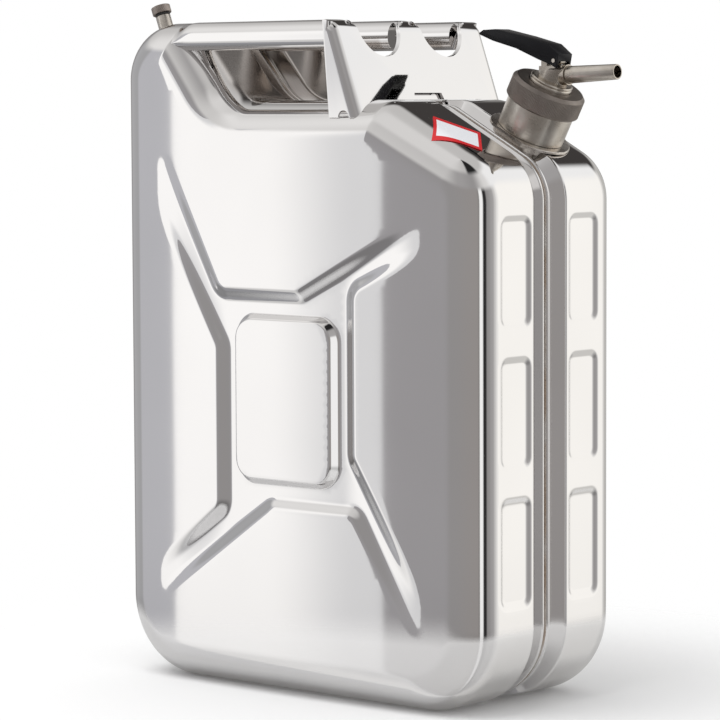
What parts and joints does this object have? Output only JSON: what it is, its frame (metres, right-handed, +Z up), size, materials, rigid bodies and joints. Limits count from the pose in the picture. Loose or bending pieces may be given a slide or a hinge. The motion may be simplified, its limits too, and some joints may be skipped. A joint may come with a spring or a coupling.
{
  "type": "safety can",
  "caption": "Flat stainless steel fuel can pressed in two halves, with three carrying bars over a hand recess, a bleed screw and a self-closing tap on a sloping neck.",
  "frame": {"origin": "centre of the whole object's box, on the surface that the can stands on", "axes": "+Z up; the can's broad front looks along -Y and its rear along +Y; the tap pours towards +X; the seam lies in the plane Y = 0"},
  "size_m": [0.382, 0.1818, 0.5015],
  "materials": {
    "polished_steel": "mirror-polished stainless steel",
    "weld_metal": "dull, slightly tinted weld",
    "satin_steel": "satin",
    "dark_nickel": "dark satin nickel, knurled",
    "arrester_steel": "perforated sheet",
    "vent_metal": "nickel-plated",
    "black_plastic": "satin black",
    "seal_rubber": "black",
    "sticker_film": "bare film"
  },
  "bodies": {
    "can": {"front_shell": "polished_steel", "rear_shell": "polished_steel", "seam_weld_bead": "weld_metal", "front_handle_bar": "polished_steel", "middle_handle_bar": "polished_steel", "rear_handle_bar": "polished_steel", "handle_bracket": "polished_steel", "neck_collar": "polished_steel", "filler_neck": "satin_steel", "flame_arrester": "arrester_steel", "vent_socket": "satin_steel", "blank_sticker": "sticker_film"},
    "tap": {"tap_body": "satin_steel", "outlet_tube": "satin_steel", "neck_seal": "seal_rubber", "valve_spring": "polished_steel", "stem_seal": "seal_rubber"},
    "union_nut": {"union_nut": "dark_nickel"},
    "valve_stem": {"valve_stem": "satin_steel", "valve_seal": "seal_rubber", "lever_pin": "satin_steel"},
    "lever": {"tap_lever": "black_plastic"},
    "vent_seal": {"vent_seal": "seal_rubber"},
    "vent_cap": {"vent_cap": "vent_metal"}
  },
  "joints": [
    {"name": "tap_lift", "type": "slide", "parent": "can", "child": "tap", "axis": [0.4695, 0, 0.8829], "range_m": [0, 0.009]},
    {"name": "nut_turn", "type": "hinge", "parent": "tap", "child": "union_nut", "pos_m": [0.11356, 0.029, 0.40569], "axis": [0.4695, 0, 0.8829], "range_deg": [0, 1080]},
    {"name": "stem_lift", "type": "slide", "parent": "tap", "child": "valve_stem", "axis": [0.4695, 0, 0.8829], "range_m": [0, 0.0025], "deforming": ["valve_spring"]},
    {"name": "lever_press", "type": "hinge", "parent": "valve_stem", "child": "lever", "pos_m": [0.14042, 0.029, 0.45619], "axis": [0, -1, 0], "range_deg": [0, 12], "stiffness_Nm_per_rad": 0.16, "springref_deg": -48.13},
    {"name": "vent_lift", "type": "slide", "parent": "can", "child": "vent_seal", "axis": [-0.3584, 0, 0.9336], "range_m": [0, 0.002]},
    {"name": "vent_turn", "type": "hinge", "parent": "vent_seal", "child": "vent_cap", "pos_m": [-0.17147, -0.0475, 0.47946], "axis": [-0.3584, 0, 0.9336], "range_deg": [0, 720]}
  ],
  "couplings": [
    {"joint": "tap_lift", "follows": "nut_turn", "m_per_rad": 0.00047746},
    {"joint": "stem_lift", "follows": "lever_press", "m_per_rad": 0.0119},
    {"joint": "vent_turn", "follows": "vent_lift", "rad_per_m": 6283.2}
  ]
}
